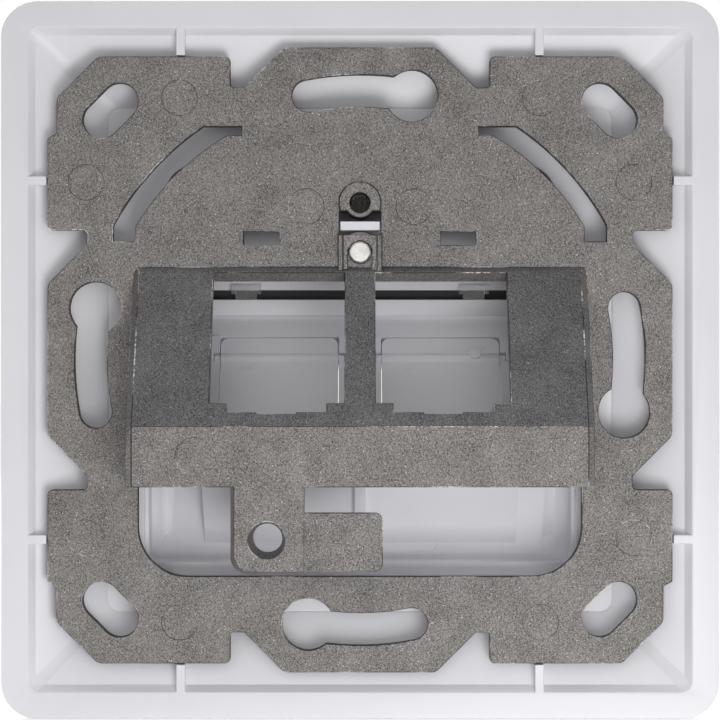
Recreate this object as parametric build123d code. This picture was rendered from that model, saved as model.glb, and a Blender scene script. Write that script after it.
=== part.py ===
from build123d import *

import math
import os

# A flush-mounted data outlet for a 60 mm wall box, shown without its two jack modules.
# Origin: centre of the wall plane, y = 0. The room is towards -Y, the wall box towards +Y, +Z is up.
# Sizes are in millimetres, angles in degrees.

# Cover frame
frame_side = 80.0
frame_corner_radius = 4.0
frame_rim_width = 2.95
frame_rim_corner_radius = 1.3
frame_wall_gap = 0.2
frame_edge_height = 4.0
frame_height = 8.2
frame_edge_round = 1.2
frame_cove_width = 0.75
frame_cove_depth = 1.2
frame_hollow_depth = 3.5
frame_collar_width = 3.25
frame_flange_width = 0.85
frame_flange_drop = 0.12
frame_flange_thickness = 1.1
frame_flange_upper_width = 3.2
frame_flange_upper_round = 3.3
frame_flange_step = 12.0
frame_rib_thickness = 1.0
frame_rib_offset = 20.0
frame_rib_gap = 0.15

# Centre plate
plate_side = 50.0
plate_gap = 0.15
plate_proud = 2.0
plate_panel_thickness = 1.6
plate_edge_round = 0.6
plate_wall = 1.1
plate_bottom_wall = 2.15
plate_inner_round = 0.8

# Support ring, one casting with the module box
ring_thickness = 1.3
ring_frame_space = 2.25
ring_lobe_half = 8.45
ring_notch_depth = 4.45
ring_ear_start = 14.45
ring_ear_inset = 1.0
ring_ear_chamfer = 4.6
ring_ear_step_reach = 9.6
ring_corner_round = 1.2
ring_notch_round = 0.6

# Openings in the ring for the fixing screws
fixing_edge = 4.8
keyhole_swing = 11.1
keyhole_slot_width = 3.6
keyhole_head_radius = 2.9
oblong_edge = 5.25
oblong_length = 7.0
oblong_width = 4.1

# Openings in the ring that only save metal or pass a tool
crescent_outside = 1.3
crescent_inside = 0.9
crescent_low = 13.2
crescent_high_x = 27.5
crescent_high_z = 26.0
crescent_inner_corner = 25.0
window_width = 4.0
window_height = 1.5
window_x = 10.95
window_z = 13.55
lower_opening_inset = 0.55
lower_opening_edge = 5.9
lower_opening_round = 5.5

# Module box
module_tilt = 30.0
module_pitch = 18.0
module_width = 14.6
module_length = 16.5
module_notch_width = 10.75
module_notch_length = 1.13
module_key_width = 4.2
module_key_length = 0.2
box_side_space = 4.75
box_top = 10.35
box_slope_top = 9.85
box_slope_rise = 0.7
box_height = 10.5
box_bottom = -13.65
box_slope_thickness = 1.9
box_wall = 1.5
box_bottom_wall_depth = 7.5
box_side_chamfer = 0.7
box_module_start = 0.2

# Earth lug and blade on the module box
lug_left = 13.55
lug_right = 6.05
lug_bottom = -22.7
lug_thickness = 5.0
lug_draft = 0.6
lug_round = 1.8
lug_hole_x = 10.04
lug_hole_z = -19.35
lug_hole_radius = 1.6
lug_hole_mouth_radius = 1.97
lug_hole_taper_depth = 3.5
blade_length = 8.5
blade_width = 6.3
blade_thickness = 0.8
blade_drop = 0.4
blade_round = 0.85

# Screw post, screw saddle and slot on the centre line of the ring
post_z = 17.5
post_radius = 2.33
post_lobe_radius = 1.66
post_flat = 0.9
post_rise = 0.35
post_depth = 4.5
post_hole_radius = 1.12
post_hole_depth = 4.0
tongue_slot_half = 2.35
tongue_slot_bottom = 13.95
saddle_half = 2.45
saddle_rise = 0.6
saddle_ridge = 0.55
saddle_step = 0.2
saddle_recess_half = 1.35
saddle_recess_bevel = 0.5
saddle_recess_depth = 0.45

# Round marks that the ejector pins leave
mark_radius = 2.0
mark_depth = 0.08
mark_end_x = 20.1
mark_end_drop = 0.8
mark_side_z = 19.8
mark_side_rise = 0.5
mark_middle_x = 6.0
mark_middle_z = 17.1
mark_land_x = 17.8
mark_land_z = -10.3
mark_lug_z = -14.9
mark_lug_radius = 1.5
small_mark_radius = 0.95
small_mark_x = 21.8
small_mark_middle_x = 7.9

# Centre screw
screw_z = 11.95
screw_radius = 1.25
screw_clearance = 0.05
screw_head_radius = 2.3
screw_tip_radius = 1.0
screw_tip_length = 0.25
screw_tip_reach = 0.85
screw_well_radius = 2.4
screw_drive_width = 0.6
screw_drive_depth = 0.5

# Locating tongue of the centre plate
tongue_half = 2.2
tongue_bottom = 14.45
tongue_top = 15.45
tongue_end_gap = 0.3

# Sloped port recess of the centre plate
port_pitch = 18.3
port_wall_thickness = 1.5
port_top_y = -7.0
port_top_z = 2.63
port_length = 13.0
port_width = 13.5
port_lip = 1.6
recess_half = 17.8
recess_cheek = 1.2
recess_floor_foot = 1.6
recess_floor_end = -20.95
recess_divider_half = 0.6
recess_divider_height = 2.0
recess_rib_half = 0.62
recess_rib_height = 1.2
bearing_ear_width = 1.1
bearing_ear_length = 3.2
bearing_ear_rise = 0.35

# Dust shutters
shutter_side_gap = 0.08
shutter_end_gap = 0.15
shutter_thickness = 1.2
shutter_corner_round = 0.9
shutter_axle_drop = 2.72
shutter_axle_depth = 0.5
shutter_ridge_radius = 0.75
shutter_pin_radius = 0.55
shutter_pin_length = 0.7
shutter_pin_clearance = 0.05
shutter_snap = 0.05
shutter_grip_height = 0.9
shutter_grip_width = 1.0
shutter_grip_inset = 0.4
shutter_mark_x = 3.9
shutter_mark_drop = 0.75
shutter_mark_radius = 0.97
shutter_mark_depth = 0.05
shutter_nub_radius = 0.67
shutter_nub_lift = 0.35
shutter_nub_height = 0.95

# Label window and label strip
label_half_width = 18.8
label_bottom = 6.2
label_top = 18.8
label_depth = 1.5
label_floor = 0.9
label_pad_margin = 1.1
label_slot_half = 17.2
label_slot_low = 6.9
label_slot_high = 8.0
label_slot_lip = 0.3
window_gap = 0.15
window_thickness = 1.1
window_edge = 0.25
strip_thickness = 0.25
strip_gap = 0.05
strip_margin = 0.5
strip_bottom = 6.85
hook_x = 13.0
hook_half = 1.25
hook_stem_height = 0.55
hook_barb_half = 1.7
hook_barb_height = 0.8
hook_barb_thickness = 0.5
catch_half = 5.0
catch_reach = 0.5
catch_thickness = 0.5
catch_gap = 0.1

# Levels along Y that several pieces share
ring_front = -ring_thickness
flange_top = -frame_hollow_depth - frame_flange_drop
flange_front = flange_top - frame_flange_thickness
frame_front = -frame_height
plate_front = frame_front - plate_proud
panel_back = plate_front + plate_panel_thickness
label_floor_front = plate_front + label_depth
label_floor_back = label_floor_front + label_floor
window_back = plate_front + window_thickness
strip_front = window_back + strip_gap
strip_back = strip_front + strip_thickness

# Widths that several pieces share
opening_half = plate_side / 2 + plate_gap
collar_half = opening_half + frame_collar_width
rim_half = frame_side / 2 - frame_rim_width
ring_half = rim_half - ring_frame_space
ring_ear_half = ring_half - ring_ear_inset
ring_corner_reach = (2 * ring_ear_half - ring_ear_chamfer) / math.sqrt(2)
# The 60 mm circle that wall boxes have
fixing_pitch_radius = ring_half - fixing_edge
box_half_width = fixing_pitch_radius - box_side_space
shutter_half = port_width / 2 - shutter_side_gap
slope = math.radians(module_tilt)
cut = 1.0


def slab(sketch, back, front):
    """A sketch in X and Z, thickened from y = back towards the room to y = front."""
    return extrude(Plane.XZ.offset(-back) * sketch, amount=back - front)


def prism(points, left, right):
    """A polygon of (y, z) points, thickened from x = left to x = right."""
    face = make_face(Polyline(*points, close=True))
    return extrude(Plane.YZ.offset(left) * face, amount=right - left)


def rectangle(left, right, low, high):
    """A rectangle in X and Z given by its sides."""
    return Pos((left + right) / 2, (low + high) / 2) * Rectangle(right - left, high - low)


def rounded_square(half, radius):
    return RectangleRounded(2 * half, 2 * half, radius)


def square_loft(sections):
    """Straight sides between rounded squares, each given as (half side, corner radius, y)."""
    solid = None
    for lower, upper in zip(sections, sections[1:]):
        faces = []
        for half, radius, level in (lower, upper):
            faces.append(Plane.XZ.offset(-level) * rounded_square(half, radius))
        piece = loft(faces, ruled=True)
        solid = piece if solid is None else solid + piece
    return solid


def pin_along_x(point, radius, left, right):
    """A cylinder along X, centred on a (y, z) point."""
    return extrude(Plane.YZ.offset(left) * Pos(*point) * Circle(radius), amount=right - left)


def quarter_turns(shape):
    """Four copies of a sketch, a quarter turn apart about the centre."""
    copies = shape
    for turn in range(1, 4):
        copies += Rot(0, 0, 90 * turn) * shape
    return copies


def all_quadrants(points):
    """Corner points (x, z, radius) of one quadrant, repeated by mirroring into a closed outline."""
    right_bottom = [(x, -z, r) for x, z, r in reversed(points)]
    left_bottom = [(-x, -z, r) for x, z, r in points]
    left_top = [(-x, z, r) for x, z, r in reversed(points)]
    return points + right_bottom + left_bottom + left_top


def rounded_outline(corners):
    """A face in X and Z from corners (x, z, radius)."""
    points = [(x, z) for x, z, _ in corners]
    radii = [radius for _, _, radius in corners]
    return make_face(FilletPolyline(*points, radius=radii, close=True))


# Support ring

def ring_outline():
    """The ring's outer edge: four lobes that hold the fixing slots, and four ears in the corners."""
    step = ring_ear_inset
    step_start = ring_half - ring_ear_step_reach
    notch_root = ring_half - ring_notch_depth
    corner = ring_ear_half - ring_ear_chamfer
    quadrant = [
        (ring_lobe_half, ring_half, ring_corner_round),
        (ring_lobe_half + ring_notch_depth, notch_root, ring_notch_round / 2),
        (ring_ear_start, notch_root, ring_notch_round / 2),
        (ring_ear_start, ring_ear_half, ring_notch_round),
        (corner, ring_ear_half, ring_corner_round),
        (ring_ear_half, corner, ring_corner_round),
        (ring_ear_half, step_start, step / 4),
        (ring_half, step_start - step / 2, step / 4),
        (ring_half, ring_ear_start, ring_notch_round),
        (notch_root, ring_ear_start, ring_notch_round),
        (notch_root, ring_lobe_half + ring_notch_depth, ring_notch_round),
        (ring_half, ring_lobe_half, ring_corner_round),
    ]
    return rounded_outline(all_quadrants(quadrant))


def keyhole():
    """The upper fixing slot: an arc about the centre with a round head at its left end."""
    arc = CenterArc((0, 0), fixing_pitch_radius, 90 - keyhole_swing, 2 * keyhole_swing)
    head = Rot(0, 0, 90 + keyhole_swing) * Pos(fixing_pitch_radius, 0) * Circle(keyhole_head_radius)
    return SlotArc(arc, keyhole_slot_width) + head


def corner_oblong():
    """The slot across one corner, for a wall screw."""
    place = Pos(ring_corner_reach - oblong_edge, 0)
    return Rot(0, 0, 45) * place * SlotOverall(oblong_length, oblong_width, rotation=90)


def crescent():
    """The curved slot at the upper right, square at both of its ends."""
    frame = rectangle(crescent_low, crescent_high_x, crescent_low, crescent_high_z)
    core = rectangle(0, crescent_inner_corner, 0, crescent_inner_corner)
    outer = Circle(fixing_pitch_radius + crescent_outside)
    inner = Circle(fixing_pitch_radius - crescent_inside)
    return (outer & frame) - (inner & core)


def lower_opening():
    """The opening below the module box, with two round lower corners."""
    top = box_bottom + box_wall
    bottom = lower_opening_edge - fixing_pitch_radius
    half = box_half_width - lower_opening_inset
    corners = [
        (-half, top, 0),
        (-half, bottom, lower_opening_round),
        (half, bottom, lower_opening_round),
        (half, top, 0),
    ]
    return rounded_outline(corners)


def post_outline(radius, lobe_radius):
    """The screw post seen from behind: a round head cut flat, with a small round lobe below."""
    flat = rectangle(-radius, radius, -post_flat, radius)
    return (Circle(radius) & flat) + Circle(lobe_radius)


def slope_point(down, inwards):
    """A (y, z) point measured down the box's slope from its top edge, and in from its surface."""
    y = box_slope_rise + down * math.sin(slope) - inwards * math.cos(slope)
    z = box_slope_top - down * math.cos(slope) - inwards * math.sin(slope)
    return (y, z)


def box_shell():
    """The module box: a sloped face, a flat land below it, two side walls and a short bottom wall."""
    fall = (box_height - box_slope_rise) / math.tan(slope)
    outer = prism(
        [
            (ring_front, box_top),
            (0, box_top),
            (box_slope_rise, box_slope_top),
            (box_height, box_slope_top - fall),
            (box_height, box_bottom),
            (ring_front, box_bottom),
        ],
        -box_half_width,
        box_half_width,
    )
    side_edges = outer.edges().filter_by(
        lambda edge: edge.center().Y > box_slope_rise + cut
        and abs(edge.center().X) > box_half_width - cut
        and edge.center().Z > box_bottom + cut
    )
    outer = chamfer(side_edges, box_side_chamfer)

    start_y, start_z = slope_point(0, box_slope_thickness)
    roof = box_height - box_wall
    roof_z = start_z - (roof - start_y) / math.tan(slope)
    floor_z = box_bottom + box_wall
    inner_front = ring_front - cut
    front_z = start_z + (start_y - inner_front) / math.tan(slope)
    hollow_half = box_half_width - box_wall
    hollow = prism(
        [
            (inner_front, min(front_z, box_top - box_wall / 2)),
            (start_y, min(start_z, box_top - box_wall / 2)),
            (roof, roof_z),
            (roof, floor_z),
            (inner_front, floor_z),
        ],
        -hollow_half,
        hollow_half,
    )
    below = prism(
        [
            (inner_front, floor_z + cut),
            (box_height - box_bottom_wall_depth, floor_z + cut),
            (box_height - box_bottom_wall_depth, box_bottom - cut),
            (inner_front, box_bottom - cut),
        ],
        -hollow_half,
        hollow_half,
    )
    return outer, hollow, below


def slope_cut(down_start, down_end, centre, width):
    """A tool that cuts straight through the box's slope."""
    points = [
        slope_point(down_start, -cut),
        slope_point(down_end, -cut),
        slope_point(down_end, box_slope_thickness + cut),
        slope_point(down_start, box_slope_thickness + cut),
    ]
    return prism(points, centre - width / 2, centre + width / 2)


def module_openings():
    """Two openings for snap-in jack modules, each with a latch notch at its lower end."""
    tools = None
    for side in (-1, 1):
        centre = side * module_pitch / 2
        shoulder = box_module_start + module_length
        notch = shoulder + module_notch_length
        main = slope_cut(box_module_start, shoulder, centre, module_width)
        latch = slope_cut(shoulder - cut, notch, centre, module_notch_width)
        key = slope_cut(notch - cut, notch + module_key_length, centre, module_key_width)
        tool = main + latch + key
        tools = tool if tools is None else tools + tool
    return tools


def earth_lug():
    """A thick lug with a tapered screw hole, and a flat blade for a push-on earth connector."""
    root = box_bottom + box_wall / 2
    ends = []
    for level, draft in ((box_height, 0), (box_height - lug_thickness, lug_draft)):
        outline = rounded_outline(
            [
                (lug_right, root, 0),
                (lug_right, lug_bottom - draft, lug_round / 6),
                (lug_left + draft, lug_bottom - draft, lug_round),
                (lug_left + draft, root, 0),
            ]
        )
        ends.append(Plane.XZ.offset(-level) * outline)
    lug = loft(ends, ruled=True)
    blade_back = box_height - blade_drop
    blade = slab(
        rounded_outline(
            [
                (lug_right + cut, lug_bottom + blade_width, 0),
                (lug_right - blade_length, lug_bottom + blade_width, blade_round),
                (lug_right - blade_length, lug_bottom, blade_round),
                (lug_right + cut, lug_bottom, 0),
            ]
        ),
        blade_back,
        blade_back - blade_thickness,
    )
    hole = slab(
        Pos(lug_hole_x, lug_hole_z) * Circle(lug_hole_radius),
        box_height + cut,
        box_height - lug_thickness - cut,
    )
    mouth = loft(
        [
            Plane.XZ.offset(-box_height) * Pos(lug_hole_x, lug_hole_z) * Circle(lug_hole_mouth_radius),
            Plane.XZ.offset(lug_hole_taper_depth - box_height)
            * Pos(lug_hole_x, lug_hole_z)
            * Circle(lug_hole_radius),
        ]
    )
    return (lug + blade) - hole - mouth


def saddle():
    """The raised saddle that the centre screw passes through, with a ridge along each side."""
    low = box_top - box_wall / 2
    block = slab(rectangle(-saddle_half, saddle_half, low, tongue_slot_bottom), saddle_rise, 0)
    between = saddle_half - saddle_ridge
    dip = slab(
        rectangle(-between, between, low - cut, tongue_slot_bottom + cut),
        saddle_rise + cut,
        saddle_rise - saddle_step,
    )
    half = saddle_recess_half
    bevel = saddle_recess_bevel
    top = screw_z + half - bevel
    recess = slab(
        make_face(
            Polyline(
                (-half, low - cut),
                (-half, top - bevel),
                (bevel - half, top),
                (half - bevel, top),
                (half, top - bevel),
                (half, low - cut),
                close=True,
            )
        ),
        saddle_rise + cut,
        saddle_rise - saddle_step - saddle_recess_depth,
    )
    return block - dip - recess


def ring_marks():
    """Shallow ejector marks on the back of the ring, the box and the lug."""
    end_z = fixing_pitch_radius - mark_end_drop
    side_x = fixing_pitch_radius + mark_side_rise
    spots = [(x, z) for x in (-mark_end_x, mark_end_x) for z in (-end_z, end_z)]
    spots += [(x, z) for x in (-side_x, side_x) for z in (-mark_side_z, mark_side_z)]
    spots += [(x, mark_middle_z) for x in (-mark_middle_x, mark_middle_x)]
    marks = None
    for x, z in spots:
        mark = slab(Pos(x, z) * Circle(mark_radius), mark_depth, -mark_depth)
        marks = mark if marks is None else marks + mark
    land_spot = Pos(mark_land_x, mark_land_z) * Circle(mark_radius)
    lug_spot = Pos(lug_hole_x, mark_lug_z) * Circle(mark_lug_radius)
    for spot in (land_spot, lug_spot):
        marks += slab(spot, box_height + mark_depth, box_height - mark_depth)
    return marks


def ring_casting():
    """The ring and its module box, which are cast in one."""
    ring = slab(ring_outline(), 0, ring_front)
    outer, hollow, below = box_shell()
    post = slab(Pos(0, post_z) * post_outline(post_radius, post_lobe_radius), post_rise, -post_depth)
    holes = quarter_turns(keyhole()) + quarter_turns(corner_oblong())
    holes += crescent() + mirror(crescent(), about=Plane.YZ)
    for side in (-1, 1):
        holes += Pos(side * window_x, window_z) * Rectangle(window_width, window_height)
    holes += lower_opening()
    holes += rectangle(-tongue_slot_half, tongue_slot_half, tongue_slot_bottom, post_z - post_flat)
    ring -= slab(holes, cut, ring_front - cut)
    solid = ring + outer + saddle()
    solid -= hollow
    solid -= below
    solid -= module_openings()
    solid = solid + post + earth_lug()
    solid -= slab(Pos(0, post_z) * Circle(post_hole_radius), post_rise + cut, post_rise - post_hole_depth)
    screw_hole = Pos(0, screw_z) * Circle(screw_radius + screw_clearance)
    solid -= slab(screw_hole, saddle_rise + cut, ring_front - cut)
    return solid - ring_marks()


def box_room():
    """The space of the module box, through the ring's thickness, and of the lug behind the ring."""
    half = box_half_width
    box = slab(rectangle(-half, half, box_bottom, box_top), box_height + cut, ring_front - cut)
    lug = slab(rectangle(-half, half, lug_bottom - lug_draft - cut, box_bottom), box_height + cut, 0)
    return box + lug


# Cover frame

def frame_rib(turn, side, ring_edge):
    """One stiffening rib of the frame: level with the rim, then stepped down under the ring."""
    left = side * frame_rib_offset - frame_rib_thickness / 2
    right = left + frame_rib_thickness
    outer = rim_half + cut
    step = ring_edge + frame_rib_gap
    root = -frame_hollow_depth - cut / 2
    tall = slab(rectangle(left, right, step, outer), -frame_wall_gap, root)
    seat = slab(rectangle(left, right, collar_half - cut / 2, step), ring_front, root)
    return Rot(0, 90 * turn, 0) * (tall + seat)


def flange_opening():
    """The opening in the frame's rear flange, narrower where the ring's curved slots show it."""
    upper = opening_half - frame_flange_upper_width
    lower = opening_half - frame_flange_width
    return rounded_outline(
        [
            (-upper, upper, frame_flange_upper_round),
            (upper, upper, frame_flange_upper_round),
            (upper, frame_flange_step, 0),
            (lower, frame_flange_step, 0),
            (lower, -lower, plate_edge_round),
            (-lower, -lower, plate_edge_round),
            (-lower, frame_flange_step, 0),
            (-upper, frame_flange_step, 0),
        ]
    )


def cover_frame():
    """A square frame with a sloped face; its hollow back has eight ribs and a flange behind the plate."""
    half = frame_side / 2
    edge_y = -frame_edge_height
    front_half = opening_half + frame_corner_radius / 4
    body = square_loft(
        [
            (half, frame_corner_radius, -frame_wall_gap),
            (half, frame_corner_radius, edge_y),
            (front_half, frame_corner_radius / 4, frame_front),
        ]
    )
    shoulder = body.edges().filter_by(
        lambda edge: abs(edge.center().Y - edge_y) < 0.01 and edge.length > frame_corner_radius / 4
    )
    body = fillet(shoulder, frame_edge_round)
    hollow = square_loft(
        [
            (rim_half + frame_cove_width / 4, frame_rim_corner_radius, cut - frame_wall_gap),
            (rim_half, frame_rim_corner_radius, -frame_wall_gap),
            (rim_half - frame_cove_width, frame_rim_corner_radius, -frame_cove_depth),
            (collar_half, frame_rim_corner_radius, -frame_hollow_depth),
        ]
    )
    well = slab(rounded_square(collar_half, frame_rim_corner_radius), cut - frame_hollow_depth, flange_top)
    frame = body - hollow - well
    for turn in range(4):
        ring_edge = ring_half if turn % 2 else ring_ear_half
        for side in (-1, 1):
            frame += frame_rib(turn, side, ring_edge)
    opening = slab(rounded_square(opening_half, plate_edge_round), flange_front, frame_front - cut)
    through = slab(flange_opening(), cut, flange_front - cut)
    return frame - opening - through


# Centre plate

def port_point(down, forward):
    """A (y, z) point measured down the port wall from the port's top edge, and forward of its back."""
    y = port_top_y + down * math.sin(slope) - forward * math.cos(slope)
    z = port_top_z - down * math.cos(slope) - forward * math.sin(slope)
    return (y, z)


def floor_line(start_down, forward_y):
    """Where a line parallel to the recess floor, from a point on the port wall's back, reaches y."""
    foot_y, foot_z = port_point(port_length + recess_floor_foot, 0)
    run = (recess_floor_end - foot_z) / (panel_back - foot_y)
    start_y, start_z = port_point(start_down, 0)
    return (forward_y, start_z + (forward_y - start_y) * run)


def port_prism(down_start, down_end, forward_start, forward_end, left, right):
    """A block that lies along the port wall."""
    points = [
        port_point(down_start, forward_start),
        port_point(down_end, forward_start),
        port_point(down_end, forward_end),
        port_point(down_start, forward_end),
    ]
    return prism(points, left, right)


def port_recess():
    """The solid hull of the sloped recess, and the space in front of its port wall."""
    crease = (port_top_y - panel_back) / math.sin(slope)
    foot = port_point(port_length + recess_floor_foot, 0)
    hull = prism(
        [
            port_point(-crease, 0),
            foot,
            (panel_back, recess_floor_end),
            (plate_front + cut / 2, recess_floor_end),
            (plate_front + cut / 2, port_point(-crease, 0)[1]),
        ],
        -recess_half,
        recess_half,
    )
    outside = plate_front - cut
    lip_y, lip_z = port_point(port_lip, port_wall_thickness)
    lip_run = (lip_y - outside) * math.tan(slope)
    space = prism(
        [
            (lip_y, lip_z),
            port_point(port_length, port_wall_thickness),
            floor_line(port_length, port_point(port_length, port_wall_thickness)[0]),
            floor_line(port_length, outside),
            (outside, lip_z - lip_run),
        ],
        recess_cheek - recess_half,
        recess_half - recess_cheek,
    )
    return hull, space


def port_cut(centre):
    """The tool for one port: a through opening, with a rebate behind the lip at its top."""
    left = centre - port_width / 2
    right = centre + port_width / 2
    rebate = port_prism(0, port_length, -cut, shutter_thickness + shutter_end_gap, left, right)
    through = port_prism(port_lip, port_length, -cut, port_wall_thickness + cut, left, right)
    return rebate + through


def bearing_ears(centre):
    """The raised ears beside one port that carry the shutter's pins."""
    ears = None
    for side in (-1, 1):
        near = centre + side * port_width / 2
        far = near + side * bearing_ear_width
        ear = port_prism(0, bearing_ear_length, -bearing_ear_rise, cut / 2, min(near, far), max(near, far))
        ears = ear if ears is None else ears + ear
    return ears


def bearing_cut(centre):
    """Round seats for the shutter's pins, open at the back through a slightly narrower snap."""
    reach = port_width / 2 + shutter_pin_length
    seat_radius = shutter_pin_radius + shutter_pin_clearance
    seat = pin_along_x(
        port_point(shutter_axle_drop, shutter_axle_depth), seat_radius, centre - reach, centre + reach
    )
    snap = shutter_pin_radius - shutter_snap
    mouth = port_prism(
        shutter_axle_drop - snap,
        shutter_axle_drop + snap,
        -cut,
        shutter_axle_depth,
        centre - reach,
        centre + reach,
    )
    return seat + mouth


def screw_head(grow):
    """The countersunk head of the centre screw, or its seat where grow is a clearance."""
    top = label_floor_front
    bottom = top + screw_head_radius - screw_radius
    faces = [
        Plane.XZ.offset(-top) * Pos(0, screw_z) * Circle(screw_head_radius + grow),
        Plane.XZ.offset(-bottom) * Pos(0, screw_z) * Circle(screw_radius + grow),
    ]
    return loft(faces)


def centre_plate():
    """The 50 mm plate: a panel with a skirt, a label pocket and a sloped recess with two ports."""
    half = plate_side / 2
    body = slab(rounded_square(half, plate_edge_round), flange_front, plate_front)
    front_edges = body.edges().filter_by(lambda edge: abs(edge.center().Y - plate_front) < 0.01)
    body = fillet(front_edges, plate_edge_round)
    inner = half - plate_wall
    inner_bottom = plate_bottom_wall - half
    hollow = slab(
        rounded_outline(
            [
                (-inner, inner, plate_inner_round),
                (inner, inner, plate_inner_round),
                (inner, inner_bottom, plate_inner_round),
                (-inner, inner_bottom, plate_inner_round),
            ]
        ),
        flange_front + cut,
        panel_back,
    )
    plate = body - hollow
    hull, space = port_recess()
    pad_half = label_half_width + label_pad_margin
    plate += slab(
        rectangle(-pad_half, pad_half, label_bottom - label_pad_margin, label_top + label_pad_margin),
        label_floor_back,
        panel_back - cut / 2,
    )
    plate += slab(Pos(0, screw_z) * Circle(screw_well_radius), ring_front, panel_back - cut / 2)
    tongue_back = -tongue_end_gap
    plate += slab(
        rectangle(-tongue_half, tongue_half, tongue_bottom, tongue_top), tongue_back, panel_back - cut / 2
    )
    rib_run = recess_rib_height / math.cos(slope)
    foot_y, foot_z = port_point(port_length + recess_floor_foot, 0)
    rib = prism(
        [
            (foot_y, foot_z),
            (foot_y, foot_z - rib_run),
            (panel_back, recess_floor_end - rib_run),
            (panel_back, recess_floor_end + rib_run),
        ],
        -recess_rib_half,
        recess_rib_half,
    )
    plate += hull + rib
    plate -= space
    for side in (-1, 1):
        centre = side * port_pitch / 2
        plate += bearing_ears(centre)
        plate -= port_cut(centre)
        plate -= bearing_cut(centre)
    divider = port_prism(
        port_lip,
        port_length + cut / 2,
        port_wall_thickness - cut / 2,
        port_wall_thickness + recess_divider_height,
        -recess_divider_half,
        recess_divider_half,
    )
    plate += divider
    pocket = rectangle(-label_half_width, label_half_width, label_bottom, label_top)
    plate -= slab(pocket, label_floor_front, plate_front - cut)
    slot_back = label_floor_back - label_slot_lip
    plate -= slab(
        rectangle(-label_slot_half, label_slot_half, label_bottom, label_slot_high),
        slot_back,
        label_floor_front - cut / 2,
    )
    plate -= slab(
        rectangle(-label_slot_half, label_slot_half, label_slot_low, label_slot_high),
        label_floor_back + cut,
        label_floor_front - cut / 2,
    )
    groove_half = catch_half + catch_gap
    plate -= slab(
        rectangle(-groove_half, groove_half, label_top - cut / 2, label_top + catch_reach + catch_gap),
        window_back,
        window_back - catch_thickness - catch_gap,
    )
    screw_hole = Pos(0, screw_z) * Circle(screw_radius + screw_clearance)
    plate -= slab(screw_hole, ring_front + cut, plate_front)
    plate -= screw_head(0)
    marks = None
    for x in (-small_mark_x, -small_mark_middle_x, small_mark_x):
        spot = Pos(x, inner_bottom + 2 * small_mark_radius) * Circle(small_mark_radius)
        mark = slab(spot, panel_back + mark_depth, panel_back - mark_depth)
        marks = mark if marks is None else marks + mark
    return plate - marks


# Dust shutters

def on_shutter(down, forward, centre):
    """A plane that lies along the port wall and faces the wall box, with X to the right."""
    y, z = port_point(down, forward)
    return Plane(origin=(centre, y, z), x_dir=(1, 0, 0), z_dir=(0, -math.cos(slope), -math.sin(slope)))


def dust_shutter(centre):
    """A hinged flap that hangs closed in its port: a plate with a cross ridge, two pins and a grip."""
    top = shutter_end_gap
    bottom = port_length - shutter_end_gap
    length = bottom - top
    flat = make_face(
        FilletPolyline(
            (-shutter_half, 0),
            (shutter_half, 0),
            (shutter_half, -length),
            (-shutter_half, -length),
            radius=[shutter_corner_round, shutter_corner_round, shutter_end_gap, shutter_end_gap],
            close=True,
        )
    )
    flap = extrude(on_shutter(top, 0, centre) * flat, amount=shutter_thickness)
    for side in (-1, 1):
        mark = on_shutter(shutter_axle_drop + shutter_mark_drop, 0, centre + side * shutter_mark_x)
        flap -= extrude(mark * Circle(shutter_mark_radius), amount=shutter_mark_depth)
    axle = port_point(shutter_axle_drop, shutter_axle_depth)
    flap += pin_along_x(axle, shutter_ridge_radius, centre - shutter_half, centre + shutter_half)
    pin_end = shutter_half + shutter_pin_length
    flap += pin_along_x(axle, shutter_pin_radius, centre - pin_end, centre + pin_end)
    grip_low = bottom - shutter_grip_inset
    grip_half = shutter_half * 0.6
    grip = port_prism(
        grip_low - shutter_grip_width,
        grip_low,
        shutter_thickness / 2,
        shutter_thickness + shutter_grip_height,
        centre - grip_half,
        centre + grip_half,
    )
    return flap + grip


def nubbed_shutter(centre):
    """The left shutter also keeps a round nub on its ridge."""
    plane = on_shutter(shutter_axle_drop - shutter_nub_lift, shutter_axle_depth, centre - shutter_mark_x)
    return dust_shutter(centre) + extrude(plane * Circle(shutter_nub_radius), amount=-shutter_nub_height)


# Label window, label strip and centre screw

def label_window():
    """A clear cover for the label: a bevelled pane, a catch at the top and two snap hooks below."""
    half = label_half_width - window_gap
    low = label_bottom + window_gap
    high = label_top - window_gap
    pane = slab(rectangle(-half, half, low, high), window_back, plate_front)
    edges = pane.edges().filter_by(lambda edge: abs(edge.center().Y - plate_front) < 0.01)
    pane = chamfer(edges, window_edge)
    catch = slab(
        rectangle(-catch_half, catch_half, high - cut / 2, label_top + catch_reach),
        window_back,
        window_back - catch_thickness,
    )
    window = pane + catch
    slot_back = label_floor_back - label_slot_lip - strip_gap
    stem_back = strip_back + strip_gap
    body_low = label_slot_low + strip_gap
    body_high = label_slot_high - strip_gap
    barb_front = label_floor_back + strip_gap
    barb_back = barb_front + hook_barb_thickness
    for side in (-1, 1):
        centre = side * hook_x
        window += prism(
            [
                (window_back - cut / 4, low),
                (slot_back, low),
                (slot_back, body_low),
                (barb_back, body_low),
                (barb_back, body_high),
                (stem_back, body_high),
                (stem_back, low + hook_stem_height - strip_gap),
                (window_back - cut / 4, low + hook_stem_height - strip_gap),
            ],
            centre - hook_half,
            centre + hook_half,
        )
        window += prism(
            [
                (barb_front, body_high - hook_barb_height / 2),
                (barb_back, body_high - hook_barb_height / 2),
                (barb_back, body_high + hook_barb_height / 2),
                (barb_front, body_high + hook_barb_height),
            ],
            centre - hook_barb_half,
            centre + hook_barb_half,
        )
    return window


def label_strip():
    """A card that lies behind the label window."""
    half = label_half_width - strip_margin
    high = label_top - strip_margin
    return slab(rectangle(-half, half, strip_bottom, high), strip_back, strip_front)


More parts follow.
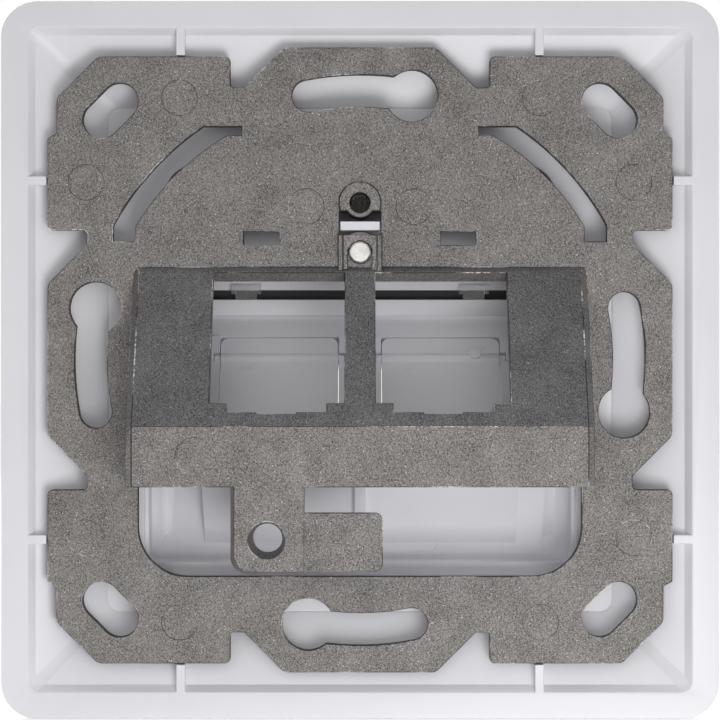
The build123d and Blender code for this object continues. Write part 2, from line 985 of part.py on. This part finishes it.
def centre_screw():
    """The countersunk screw that holds the centre plate to the ring's saddle."""
    shank_start = label_floor_front + screw_head_radius - screw_radius
    shank_end = screw_tip_reach - screw_tip_length
    shank = slab(Pos(0, screw_z) * Circle(screw_radius), shank_end, shank_start)
    tip = loft(
        [
            Plane.XZ.offset(-shank_end) * Pos(0, screw_z) * Circle(screw_radius),
            Plane.XZ.offset(-screw_tip_reach) * Pos(0, screw_z) * Circle(screw_tip_radius),
        ]
    )
    screw = screw_head(0) + shank + tip
    arm = 2 * screw_radius
    drive = Rectangle(arm, screw_drive_width) + Rectangle(screw_drive_width, arm)
    depth = label_floor_front + screw_drive_depth
    return screw - slab(Pos(0, screw_z) * drive, depth, label_floor_front - cut)


os.makedirs("parts", exist_ok=True)
casting = ring_casting()
pieces = {
    "support_ring": casting - box_room(),
    "module_box": casting & box_room(),
    "cover_frame": cover_frame(),
    "centre_plate": centre_plate(),
    "shutter_left": nubbed_shutter(-port_pitch / 2),
    "shutter_right": dust_shutter(port_pitch / 2),
    "label_window": label_window(),
    "label_strip": label_strip(),
    "centre_screw": centre_screw(),
}
for name, piece in pieces.items():
    export_step(piece, f"parts/{name}.step")
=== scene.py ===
import math

import bmesh
import bpy
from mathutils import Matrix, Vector
from mathutils.bvhtree import BVHTree
from mathutils.geometry import intersect_point_line


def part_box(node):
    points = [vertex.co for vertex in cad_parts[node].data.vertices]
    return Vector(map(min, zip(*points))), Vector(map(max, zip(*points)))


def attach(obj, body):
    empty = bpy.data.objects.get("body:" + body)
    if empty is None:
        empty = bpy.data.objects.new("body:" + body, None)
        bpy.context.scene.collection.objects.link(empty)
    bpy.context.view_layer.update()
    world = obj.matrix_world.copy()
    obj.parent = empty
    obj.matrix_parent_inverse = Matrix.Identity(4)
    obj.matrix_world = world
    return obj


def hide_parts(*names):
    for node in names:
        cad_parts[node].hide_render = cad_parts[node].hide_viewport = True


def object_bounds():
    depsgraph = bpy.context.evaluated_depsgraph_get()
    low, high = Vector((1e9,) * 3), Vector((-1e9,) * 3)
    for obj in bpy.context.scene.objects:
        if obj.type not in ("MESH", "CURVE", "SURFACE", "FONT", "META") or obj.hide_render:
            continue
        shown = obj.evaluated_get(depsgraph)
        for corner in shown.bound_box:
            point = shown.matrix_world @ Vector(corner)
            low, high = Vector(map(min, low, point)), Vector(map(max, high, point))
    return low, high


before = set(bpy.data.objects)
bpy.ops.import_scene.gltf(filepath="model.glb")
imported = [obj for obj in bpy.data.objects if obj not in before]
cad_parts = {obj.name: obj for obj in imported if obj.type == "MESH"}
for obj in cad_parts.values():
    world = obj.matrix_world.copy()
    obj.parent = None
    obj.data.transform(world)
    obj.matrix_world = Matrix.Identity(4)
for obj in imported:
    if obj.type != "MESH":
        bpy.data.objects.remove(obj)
cad_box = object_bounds()

MM = 0.001

# The photograph: its width, its scale at the ring's back and how far away the camera stood
PHOTO_WIDTH_PX = 720
PIXELS_PER_MM = 8.98
CAMERA_DISTANCE = 280 * MM
SENSOR_MM = 36.0
CLIP_START = 10 * MM

# Triangles of the CAD nodes: corners this close are joined, and so are faces that meet at less
# than this angle
JOINING_DISTANCE = 0.0005 * MM
FLAT_DEGREES = 0.6

# Edges sharper than this are rounded and shaded as edges
SHARP_DEGREES = 30
MOULDED_SHARP_DEGREES = 35

# How wide each piece's edges are rounded
CASTING_ROUNDING = 0.08 * MM
COVER_ROUNDING = 0.12 * MM
PLATE_ROUNDING = 0.05 * MM
FLAP_ROUNDING = 0.04 * MM
WINDOW_ROUNDING = 0.05 * MM
SCREW_ROUNDING = 0.06 * MM
ROUNDING_SEGMENTS = 2

# How much of a short edge the rounding at one of its ends may take. An edge that carries on almost
# straight from the rounded one doesn't count: the cosine between them is below the second value.
SHARE_OF_SHORT_EDGE = 0.4
CARRIES_ON_COSINE = -0.75

# A rounding that runs into its neighbour is halved, and below this share of its width left out.
# Each round does so within this many widths of a crossing, and there are this many rounds at most.
LEAST_ROUNDING = 0.2
NARROWING_REACH = 4
NARROWING_ROUNDS = 8

# The casting's faces by their normals: one that leans less than this to the back is a cut wall,
# up to this height above the wall plane, and one that leans more both back and up is the slope
# Both kinds of face are coloured darker as painted shade
LEAN = 0.3
CUT_WALLS_TOP = 0.1 * MM

# The card's faces whose normals point this much to the wall are its back
FACES_THE_WALL = 0.5

# The screw's thread, which the CAD node doesn't have: where it starts behind the head's front
# and ends before the tip, and half the width of its ridge as a share of the pitch
SCREW_AXIS_Z = 11.95 * MM
THREAD_PITCH = 0.45 * MM
THREAD_CORE_RADIUS = 1.02 * MM
THREAD_CREST_RADIUS = 1.24 * MM
THREAD_START = 1.9 * MM
THREAD_END = 0.3 * MM
HALF_RIDGE_SHARE = 0.42
STEPS_PER_TURN = 20

# How the noise patterns lie to the object's axes, in radians
PATTERN_TURN = (0.61, 0.43, 0.87)

# Where most of a noise pattern's values lie
NOISE_LOW = 0.3
NOISE_HIGH = 0.7

# Bright specks in the casting: how their cells compare with the grain, where in a cell a speck
# begins and is full, which of the cells have one, and how far a speck stands up from the grain
SPECK_CELL_SHARE = 0.8
SPECK_BEGINS = 0.42
SPECK_FULL = 0.15
SPECK_RARE = 0.965
SPECK_SURE = 0.985
SPECK_HEIGHT = 0.6

# How much of the casting's mottling is grain and how much is cloud
GRAIN_SHARE = 0.8
CLOUD_SHARE = 0.2

# How unevenly the surfaces shine: the roughness goes this far up and down
ZINC_ROUGHNESS_SPREAD = 0.08
PLASTIC_ROUGHNESS_SPREAD = 0.05

# How dark the deepest parts of a plain colour get, as a share of it
PLASTIC_DEEPEST = 0.965
CARD_DEEPEST = 0.9

# The surroundings: how far behind the wall plane their light begins, and the least light before it
WALL_LIGHT_BEGINS = 0.2
LEAST_ROOM_LIGHT = 0.12

# The floor, just under the object
FLOOR_SIZE = 2.0
FLOOR_GAP = 0.2 * MM


# Meshes

def mesh_object(name, bm, materials, smooth_degrees=SHARP_DEGREES):
    """A new object from a bmesh, smooth except along edges sharper than the given angle."""
    mesh = bpy.data.meshes.new(name)
    bm.to_mesh(mesh)
    bm.free()
    mesh.shade_smooth()
    mesh.set_sharp_from_angle(angle=math.radians(smooth_degrees))
    for material in materials:
        mesh.materials.append(material)
    piece = bpy.data.objects.new(name, mesh)
    bpy.context.scene.collection.objects.link(piece)
    return piece


def join_flat_stretches(bm):
    """Joins corners that lie in one place, and makes each flat stretch one face."""
    bmesh.ops.remove_doubles(bm, verts=bm.verts, dist=JOINING_DISTANCE)
    bmesh.ops.dissolve_limit(
        bm,
        angle_limit=math.radians(FLAT_DEGREES),
        verts=bm.verts,
        edges=bm.edges,
        use_dissolve_boundaries=False,
    )


def merged_bmesh(node):
    """The CAD node's shape with whole faces in place of its triangles."""
    bm = bmesh.new()
    bm.from_mesh(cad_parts[node].data)
    join_flat_stretches(bm)
    return bm


def fused_bmesh(first, second):
    """Two CAD nodes that were cast in one, joined where their faces meet."""
    pieces = []
    for node in (first, second):
        pieces.append(mesh_object("fusing_" + node, merged_bmesh(node), []))
    union = pieces[0].modifiers.new("one_casting", "BOOLEAN")
    union.operation = "UNION"
    union.solver = "EXACT"
    union.object = pieces[1]
    bpy.context.view_layer.update()
    joined = pieces[0].evaluated_get(bpy.context.evaluated_depsgraph_get())
    bm = bmesh.new()
    bm.from_mesh(joined.to_mesh())
    joined.to_mesh_clear()
    for piece in pieces:
        mesh = piece.data
        bpy.data.objects.remove(piece)
        bpy.data.meshes.remove(mesh)
    join_flat_stretches(bm)
    return bm


def room_beside(edge, width):
    """How wide the edge can be rounded, up to width, before it uses up a short neighbour."""
    room = width
    for corner in edge.verts:
        back = (edge.other_vert(corner).co - corner.co).normalized()
        for other in corner.link_edges:
            if other is edge:
                continue
            away = other.other_vert(corner).co - corner.co
            carries_on = away.normalized().dot(back) < CARRIES_ON_COSINE
            if not carries_on:
                room = min(room, away.length * SHARE_OF_SHORT_EDGE)
    return room


def crossing_places(piece):
    """Where faces of the finished piece would run through each other."""
    finished = piece.evaluated_get(bpy.context.evaluated_depsgraph_get())
    bm = bmesh.new()
    bm.from_mesh(finished.to_mesh())
    finished.to_mesh_clear()
    bm.faces.ensure_lookup_table()
    tree = BVHTree.FromBMesh(bm)
    places = []
    for first, second in tree.overlap(tree):
        pair = (bm.faces[first], bm.faces[second])
        if first < second and not set(pair[0].verts) & set(pair[1].verts):
            smaller = min(pair, key=lambda face: face.calc_area())
            places.append(smaller.calc_center_median())
    bm.free()
    return places


def is_near(place, start, end, reach):
    """Whether the place lies within reach of the straight stretch from start to end."""
    along = min(max(intersect_point_line(place, start, end)[1], 0.0), 1.0)
    return (start.lerp(end, along) - place).length < reach


def narrow_near(mesh, places, reach):
    """Halves the rounding of every edge that passes within reach of one of the places."""
    for edge, weight in zip(mesh.edges, mesh.attributes["bevel_weight_edge"].data):
        if weight.value <= 0:
            continue
        start, end = (mesh.vertices[index].co for index in edge.vertices)
        if any(is_near(place, start, end, reach) for place in places):
            weight.value = weight.value / 2 if weight.value > LEAST_ROUNDING else 0.0


def soften_edges(piece, width, angle_degrees=SHARP_DEGREES, edge_material=-1):
    """Rounds the piece's sharp edges, which no moulded or cast part has quite sharp."""
    bm = bmesh.new()
    bm.from_mesh(piece.data)
    weight = bm.edges.layers.float.new("bevel_weight_edge")
    for edge in bm.edges:
        if len(edge.link_faces) == 2 and edge.calc_face_angle() > math.radians(angle_degrees):
            edge[weight] = room_beside(edge, width) / width
    bm.to_mesh(piece.data)
    bm.free()
    bevel = piece.modifiers.new("soft_edges", "BEVEL")
    bevel.width = width
    bevel.segments = ROUNDING_SEGMENTS
    bevel.limit_method = "WEIGHT"
    bevel.use_clamp_overlap = False
    bevel.harden_normals = True
    bevel.material = edge_material
    for _ in range(NARROWING_ROUNDS):
        bpy.context.view_layer.update()
        places = crossing_places(piece)
        if not places:
            break
        narrow_near(piece.data, places, NARROWING_REACH * width)


def stand_in_for(piece, nodes, body):
    """The piece rides with the nodes' body and is shown in their place."""
    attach(piece, body)
    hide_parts(*nodes)


# Shader nodes

def remap(tree, value, low, high, out_low=0.0, out_high=1.0):
    """The value, from low to high, stretched to run from out_low to out_high and kept in it."""
    node = tree.nodes.new("ShaderNodeMapRange")
    node.inputs["From Min"].default_value = low
    node.inputs["From Max"].default_value = high
    node.inputs["To Min"].default_value = out_low
    node.inputs["To Max"].default_value = out_high
    tree.links.new(value, node.inputs["Value"])
    return node.outputs["Result"]


def run_between(tree, value, at_zero, at_one):
    """A value from 0 to 1, stretched to run from at_zero to at_one."""
    return remap(tree, value, 0.0, 1.0, at_zero, at_one)


def combine(tree, operation, first, second):
    """A Math node; each operand is a socket or a plain number."""
    node = tree.nodes.new("ShaderNodeMath")
    node.operation = operation
    for index, operand in enumerate((first, second)):
        if isinstance(operand, (int, float)):
            node.inputs[index].default_value = operand
        else:
            tree.links.new(operand, node.inputs[index])
    return node.outputs[0]


def blend_colours(tree, factor, first, second):
    """A colour mix; each colour is a socket or an (r, g, b) value."""
    node = tree.nodes.new("ShaderNodeMix")
    node.data_type = "RGBA"
    tree.links.new(factor, node.inputs["Factor"])
    for socket, colour in ((node.inputs[6], first), (node.inputs[7], second)):
        if isinstance(colour, tuple):
            socket.default_value = (*colour, 1.0)
        else:
            tree.links.new(colour, socket)
    return node.outputs[2]


def mottled(tree, factor, colour, deepest):
    """The colour, darkened where the factor is low to the given share of itself."""
    deeper = tuple(channel * deepest for channel in colour)
    return blend_colours(tree, factor, deeper, colour)


def seen_directly(tree):
    """1 for what the camera sees, also by reflection or through a clear piece, and 0 for light."""
    rays = tree.nodes.new("ShaderNodeLightPath")
    direct = combine(tree, "MAXIMUM", rays.outputs["Is Camera Ray"], rays.outputs["Is Glossy Ray"])
    return combine(tree, "MAXIMUM", direct, rays.outputs["Is Transmission Ray"])


# Node groups that several materials share

def group_with(name, inputs, outputs):
    """A shader node group that takes a place and the named numbers, and its two end nodes."""
    group = bpy.data.node_groups.new(name, "ShaderNodeTree")
    group.interface.new_socket(name="Vector", in_out="INPUT", socket_type="NodeSocketVector")
    for socket_name in inputs:
        group.interface.new_socket(name=socket_name, in_out="INPUT", socket_type="NodeSocketFloat")
    for socket_name in outputs:
        group.interface.new_socket(name=socket_name, in_out="OUTPUT", socket_type="NodeSocketFloat")
    start = group.nodes.new("NodeGroupInput")
    end = group.nodes.new("NodeGroupOutput")
    return group, start, end


def turned(tree, vector):
    """The place turned aslant, so that no flat face lies along the noise's own grid."""
    node = tree.nodes.new("ShaderNodeMapping")
    node.inputs["Rotation"].default_value = PATTERN_TURN
    tree.links.new(vector, node.inputs["Vector"])
    return node.outputs["Vector"]


def noise_pattern(group, vector, scale, detail, roughness=0.5):
    """Noise at the given scale, its usual values stretched to run from 0 to 1."""
    pattern = group.nodes.new("ShaderNodeTexNoise")
    pattern.inputs["Detail"].default_value = detail
    pattern.inputs["Roughness"].default_value = roughness
    group.links.new(vector, pattern.inputs["Vector"])
    group.links.new(scale, pattern.inputs["Scale"])
    return remap(group, pattern.outputs["Fac"], NOISE_LOW, NOISE_HIGH)


def cast_grain_group():
    """The skin of a zinc casting: fine grain, broad cloudy patches and a few bright specks."""
    group, start, end = group_with(
        "cast_grain", ["Grain Scale", "Cloud Scale"], ["Grain", "Cloud", "Specks", "Height"]
    )
    vector = turned(group, start.outputs["Vector"])
    grain_scale = start.outputs["Grain Scale"]
    grain = noise_pattern(group, vector, grain_scale, detail=1.5, roughness=0.6)
    cloud = noise_pattern(group, vector, start.outputs["Cloud Scale"], detail=5.0, roughness=0.6)
    cells = group.nodes.new("ShaderNodeTexVoronoi")
    group.links.new(vector, cells.inputs["Vector"])
    cell_scale = combine(group, "MULTIPLY", grain_scale, SPECK_CELL_SHARE)
    group.links.new(cell_scale, cells.inputs["Scale"])
    near = remap(group, cells.outputs["Distance"], SPECK_BEGINS, SPECK_FULL)
    shade = group.nodes.new("ShaderNodeSeparateColor")
    group.links.new(cells.outputs["Color"], shade.inputs["Color"])
    chosen = remap(group, shade.outputs["Red"], SPECK_RARE, SPECK_SURE)
    specks = combine(group, "MULTIPLY", near, chosen)
    height = combine(group, "ADD", grain, combine(group, "MULTIPLY", specks, SPECK_HEIGHT))
    group.links.new(grain, end.inputs["Grain"])
    group.links.new(cloud, end.inputs["Cloud"])
    group.links.new(specks, end.inputs["Specks"])
    group.links.new(height, end.inputs["Height"])
    return group


def moulded_skin_group():
    """The skin of moulded plastic: a faint sink and flow pattern and a very fine texture."""
    group, start, end = group_with(
        "moulded_skin", ["Flow Scale", "Texture Scale"], ["Flow", "Texture"]
    )
    vector = turned(group, start.outputs["Vector"])
    for name, detail in (("Flow", 3.0), ("Texture", 2.0)):
        pattern = noise_pattern(group, vector, start.outputs[f"{name} Scale"], detail)
        group.links.new(pattern, end.inputs[name])
    return group


CAST_GRAIN = cast_grain_group()
MOULDED_SKIN = moulded_skin_group()


# Materials

def new_material(name):
    """A material with nothing but a shader, its node tree and that shader."""
    material = bpy.data.materials.new(name)
    material.use_nodes = True
    tree = material.node_tree
    tree.nodes.clear()
    output = tree.nodes.new("ShaderNodeOutputMaterial")
    shader = tree.nodes.new("ShaderNodeBsdfPrincipled")
    tree.links.new(shader.outputs["BSDF"], output.inputs["Surface"])
    return material, tree, shader


def placed_group(tree, group, **values):
    """The group in a material, read on Object coordinates, with its own values."""
    node = tree.nodes.new("ShaderNodeGroup")
    node.node_tree = group
    place = tree.nodes.new("ShaderNodeTexCoord")
    tree.links.new(place.outputs["Object"], node.inputs["Vector"])
    for name, value in values.items():
        node.inputs[name.replace("_", " ")].default_value = value
    return node


def bump(tree, shader, height, depth):
    """Small relief, depth being how far the surface rises where the height is 1."""
    node = tree.nodes.new("ShaderNodeBump")
    node.inputs["Strength"].default_value = 1.0
    node.inputs["Distance"].default_value = depth
    tree.links.new(height, node.inputs["Height"])
    tree.links.new(node.outputs["Normal"], shader.inputs["Normal"])


def cast_zinc(name, dark, light, speck, metallic, roughness):
    """Bare zinc: dark and light are the ends of its mottled grey, speck its brightest grains."""
    material, tree, shader = new_material(name)
    skin = placed_group(tree, CAST_GRAIN, Grain_Scale=7200.0, Cloud_Scale=260.0)
    mixed = combine(
        tree,
        "ADD",
        combine(tree, "MULTIPLY", skin.outputs["Grain"], GRAIN_SHARE),
        combine(tree, "MULTIPLY", skin.outputs["Cloud"], CLOUD_SHARE),
    )
    grey = blend_colours(tree, mixed, dark, light)
    specked = blend_colours(tree, skin.outputs["Specks"], grey, speck)
    tree.links.new(specked, shader.inputs["Base Color"])
    rough = run_between(
        tree,
        skin.outputs["Grain"],
        roughness + ZINC_ROUGHNESS_SPREAD,
        roughness - ZINC_ROUGHNESS_SPREAD,
    )
    tree.links.new(rough, shader.inputs["Roughness"])
    shader.inputs["Metallic"].default_value = metallic
    bump(tree, shader, skin.outputs["Height"], depth=0.028 * MM)
    return material


def shaded_worn_edge(name, dark, light):
    """The casting's edges: mostly as dark as its walls, which is painted shade, and rubbed bright
    here and there by wear.
    """
    material, tree, shader = new_material(name)
    skin = placed_group(tree, CAST_GRAIN, Grain_Scale=3000.0, Cloud_Scale=130.0)
    rubbed = remap(tree, skin.outputs["Cloud"], 0.5, 0.75)
    worn = combine(tree, "MULTIPLY", skin.outputs["Grain"], rubbed)
    tree.links.new(blend_colours(tree, worn, dark, light), shader.inputs["Base Color"])
    tree.links.new(run_between(tree, worn, 0.55, 0.3), shader.inputs["Roughness"])
    tree.links.new(run_between(tree, worn, 0.3, 0.9), shader.inputs["Metallic"])
    bump(tree, shader, skin.outputs["Height"], depth=0.012 * MM)
    return material


def white_plastic(name, colour, roughness):
    """White moulded plastic, a little uneven in gloss."""
    material, tree, shader = new_material(name)
    skin = placed_group(tree, MOULDED_SKIN, Flow_Scale=90.0, Texture_Scale=5200.0)
    flow = skin.outputs["Flow"]
    tree.links.new(mottled(tree, flow, colour, PLASTIC_DEEPEST), shader.inputs["Base Color"])
    rough = run_between(
        tree, flow, roughness - PLASTIC_ROUGHNESS_SPREAD, roughness + PLASTIC_ROUGHNESS_SPREAD
    )
    tree.links.new(rough, shader.inputs["Roughness"])
    shader.inputs["IOR"].default_value = 1.5
    bump(tree, shader, skin.outputs["Texture"], depth=0.003 * MM)
    return material


def clear_plastic(name):
    """Clear moulded plastic with a slight ripple."""
    material, tree, shader = new_material(name)
    skin = placed_group(tree, MOULDED_SKIN, Flow_Scale=220.0, Texture_Scale=2600.0)
    shader.inputs["Base Color"].default_value = (0.985, 0.985, 0.99, 1.0)
    shader.inputs["Transmission Weight"].default_value = 1.0
    shader.inputs["IOR"].default_value = 1.49
    rough = run_between(tree, skin.outputs["Flow"], 0.03, 0.07)
    tree.links.new(rough, shader.inputs["Roughness"])
    bump(tree, shader, skin.outputs["Flow"], depth=0.0006 * MM)
    return material


def card_stock(name, colour):
    """Coated card with a faint fibre."""
    material, tree, shader = new_material(name)
    skin = placed_group(tree, MOULDED_SKIN, Flow_Scale=900.0, Texture_Scale=7000.0)
    fibre = mottled(tree, skin.outputs["Flow"], colour, CARD_DEEPEST)
    tree.links.new(fibre, shader.inputs["Base Color"])
    shader.inputs["Roughness"].default_value = 0.7
    bump(tree, shader, skin.outputs["Texture"], depth=0.01 * MM)
    return material


def plated_steel(name, dark, light):
    """Bright plated steel, a little cloudy."""
    material, tree, shader = new_material(name)
    skin = placed_group(tree, CAST_GRAIN, Grain_Scale=5200.0, Cloud_Scale=900.0)
    cloudy = blend_colours(tree, skin.outputs["Cloud"], dark, light)
    tree.links.new(cloudy, shader.inputs["Base Color"])
    rough = run_between(tree, skin.outputs["Grain"], 0.18, 0.34)
    tree.links.new(rough, shader.inputs["Roughness"])
    shader.inputs["Metallic"].default_value = 1.0
    bump(tree, shader, skin.outputs["Grain"], depth=0.004 * MM)
    return material


ZINC = cast_zinc(
    "cast_zinc",
    dark=(0.012, 0.0115, 0.011),
    light=(0.372, 0.348, 0.332),
    speck=(0.85, 0.84, 0.82),
    metallic=0.4,
    roughness=0.5,
)
# Painted shade and reflection: the box's slope takes a darker, bluer grey for the light it turns
# away from
SHADED_ZINC_SLOPE = cast_zinc(
    "zinc_slope_painted_shade",
    dark=(0.006, 0.006, 0.0065),
    light=(0.252, 0.246, 0.249),
    speck=(0.6, 0.6, 0.6),
    metallic=0.4,
    roughness=0.5,
)
# Painted shade: the cut walls take a darker grey than the faces, standing in for the dark
# surroundings they reflect
SHADED_ZINC_WALL = cast_zinc(
    "zinc_wall_painted_shade",
    dark=(0.012, 0.011, 0.011),
    light=(0.075, 0.07, 0.067),
    speck=(0.2, 0.2, 0.19),
    metallic=0.2,
    roughness=0.6,
)
# Painted shade on the edges, with wear rubbed bright in places
ZINC_EDGE_SHADE_AND_WEAR = shaded_worn_edge("zinc_edge_shade_and_wear", dark=(0.022, 0.021, 0.02), light=(0.85, 0.84, 0.82))
PLASTIC = white_plastic("white_plastic", colour=(0.845, 0.84, 0.88), roughness=0.36)
CLEAR = clear_plastic("clear_plastic")
CARD_FRONT = card_stock("label_card_front", colour=(0.85, 0.85, 0.84))
# Painted shade: the card's back is black to stand in for the shade behind the clear window
CARD_BACK_SHADE = card_stock("label_card_back_painted_shade", colour=(0.018, 0.018, 0.02))
STEEL = plated_steel("plated_steel", dark=(0.58, 0.57, 0.54), light=(0.82, 0.81, 0.78))

# The casting's materials and the places they have in its list
CASTING_MATERIALS = [ZINC, ZINC_EDGE_SHADE_AND_WEAR, SHADED_ZINC_WALL, SHADED_ZINC_SLOPE]
EDGE_INDEX, WALL_INDEX, SLOPE_INDEX = 1, 2, 3


# Pieces

def ring_casting():
    """Its cut walls and the box's slope take darker colours than its faces, the slope a bluer one:
    painted shade.
    """
    bm = fused_bmesh("support_ring", "module_box")
    # The faces are sorted by their normals into the walls and the slope that carry the painted
    # shade
    for face in bm.faces:
        middle = face.calc_center_median()
        if abs(face.normal.y) < LEAN and middle.y < CUT_WALLS_TOP:
            face.material_index = WALL_INDEX
        elif face.normal.z > LEAN and face.normal.y > LEAN:
            face.material_index = SLOPE_INDEX
    piece = mesh_object("ring_casting", bm, CASTING_MATERIALS)
    soften_edges(piece, CASTING_ROUNDING, edge_material=EDGE_INDEX)
    stand_in_for(piece, ["support_ring", "module_box"], "outlet")


def moulded_piece(name, node, body, edge_width):
    """A plastic piece in the CAD node's shape, with soft edges."""
    piece = mesh_object(name, merged_bmesh(node), [PLASTIC], smooth_degrees=MOULDED_SHARP_DEGREES)
    soften_edges(piece, edge_width, angle_degrees=MOULDED_SHARP_DEGREES)
    stand_in_for(piece, [node], body)


def clear_cover():
    """The window over the label."""
    piece = mesh_object("clear_label_cover", merged_bmesh("label_window"), [CLEAR])
    soften_edges(piece, WINDOW_ROUNDING)
    stand_in_for(piece, ["label_window"], "outlet")


def label_card():
    """The card is white towards the room and black towards the wall; the black back is painted
    shade for the dark gaps round the clear window.
    """
    bm = merged_bmesh("label_strip")
    for face in bm.faces:
        face.material_index = 1 if face.normal.y > FACES_THE_WALL else 0
    piece = mesh_object("label_card", bm, [CARD_FRONT, CARD_BACK_SHADE])
    stand_in_for(piece, ["label_strip"], "outlet")


def screw_thread():
    """A helical ridge round the shank, spun up from one triangular section."""
    low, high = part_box("centre_screw")
    start = low.y + THREAD_START
    turns = int((high.y - THREAD_END - start) / THREAD_PITCH)
    bm = bmesh.new()
    half = THREAD_PITCH * HALF_RIDGE_SHARE
    section = [
        bm.verts.new((0, start - half, SCREW_AXIS_Z + THREAD_CORE_RADIUS)),
        bm.verts.new((0, start, SCREW_AXIS_Z + THREAD_CREST_RADIUS)),
        bm.verts.new((0, start + half, SCREW_AXIS_Z + THREAD_CORE_RADIUS)),
    ]
    edges = [bm.edges.new(ends) for ends in zip(section, section[1:] + section[:1])]
    bmesh.ops.spin(
        bm,
        geom=section + edges,
        cent=(0, 0, SCREW_AXIS_Z),
        axis=(0, 1, 0),
        dvec=(0, THREAD_PITCH / STEPS_PER_TURN, 0),
        angle=2 * math.pi * turns,
        steps=STEPS_PER_TURN * turns,
        use_merge=False,
    )
    bmesh.ops.holes_fill(bm, edges=bm.edges, sides=len(section))
    bmesh.ops.recalc_face_normals(bm, faces=bm.faces)
    piece = mesh_object("screw_thread", bm, [STEEL])
    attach(piece, "outlet")


def plate_screw():
    """The screw that holds the plate to the ring, without its thread."""
    piece = mesh_object("plate_screw", merged_bmesh("centre_screw"), [STEEL])
    soften_edges(piece, SCREW_ROUNDING)
    stand_in_for(piece, ["centre_screw"], "outlet")


# Stage, light and camera

def photo_camera():
    """The camera stands square to the back of the outlet, as far away as the photograph's."""
    data = bpy.data.cameras.new("photo_camera")
    data.sensor_width = SENSOR_MM
    data.lens = SENSOR_MM * CAMERA_DISTANCE / (PHOTO_WIDTH_PX / PIXELS_PER_MM * MM)
    data.clip_start = CLIP_START
    camera = bpy.data.objects.new("photo_camera", data)
    camera.location = (0, CAMERA_DISTANCE, 0)
    camera.rotation_euler = (math.radians(90), 0, math.radians(180))
    bpy.context.scene.collection.objects.link(camera)
    bpy.context.scene.camera = camera


def softbox(name, place, size, power):
    """A square lamp that faces the middle of the object."""
    data = bpy.data.lights.new(name, "AREA")
    data.size = size
    data.energy = power
    lamp = bpy.data.objects.new(name, data)
    lamp.location = place
    lamp.rotation_euler = (-Vector(place)).to_track_quat("-Z", "Y").to_euler()
    bpy.context.scene.collection.objects.link(lamp)


def pale_world(wall_side, room_side):
    """Soft light from both sides of the wall, and white wherever a ray sees past the object."""
    world = bpy.data.worlds.new("pale_world")
    world.use_nodes = True
    bpy.context.scene.world = world
    tree = world.node_tree
    background = tree.nodes["Background"]
    background.inputs["Color"].default_value = (1, 1, 1, 1)
    place = tree.nodes.new("ShaderNodeTexCoord")
    split = tree.nodes.new("ShaderNodeSeparateXYZ")
    tree.links.new(place.outputs["Generated"], split.inputs["Vector"])
    behind = remap(tree, split.outputs["Y"], WALL_LIGHT_BEGINS, 1.0, 0.0, wall_side)
    before = remap(tree, split.outputs["Y"], 0.0, -1.0, LEAST_ROOM_LIGHT, room_side)
    ambient = combine(tree, "MAXIMUM", behind, before)
    seen = tree.nodes.new("ShaderNodeMix")
    tree.links.new(seen_directly(tree), seen.inputs["Factor"])
    tree.links.new(ambient, seen.inputs["A"])
    seen.inputs["B"].default_value = 1.0
    tree.links.new(seen.outputs["Result"], background.inputs["Strength"])


def pale_floor(glow):
    """A plain pale floor just under the object, white where it is lit; it keeps the shadow."""
    material, tree, shader = new_material("pale_floor")
    shader.inputs["Base Color"].default_value = (0.82, 0.82, 0.82, 1)
    shader.inputs["Roughness"].default_value = 0.8
    shader.inputs["Emission Color"].default_value = (1, 1, 1, 1)
    strength = combine(tree, "MULTIPLY", seen_directly(tree), glow)
    tree.links.new(strength, shader.inputs["Emission Strength"])
    bm = bmesh.new()
    bmesh.ops.create_grid(bm, x_segments=1, y_segments=1, size=FLOOR_SIZE)
    bmesh.ops.translate(bm, verts=bm.verts, vec=(0, 0, cad_box[0].z - FLOOR_GAP))
    floor = mesh_object("floor", bm, [material])
    floor.visible_shadow = False


ring_casting()
moulded_piece("cover_moulding", "cover_frame", "outlet", COVER_ROUNDING)
moulded_piece("plate_moulding", "centre_plate", "outlet", PLATE_ROUNDING)
moulded_piece("flap_left", "shutter_left", "shutter_left", FLAP_ROUNDING)
moulded_piece("flap_right", "shutter_right", "shutter_right", FLAP_ROUNDING)
clear_cover()
label_card()
plate_screw()
screw_thread()

pale_floor(glow=0.6)
pale_world(wall_side=0.97, room_side=0.6)
softbox("key_softbox", place=(-0.04, 0.15, -0.085), size=0.09, power=0.15)
softbox("room_softbox", place=(0.2, -0.35, 0.3), size=0.2, power=1.2)
photo_camera()
bpy.context.scene.view_settings.view_transform = "Standard"
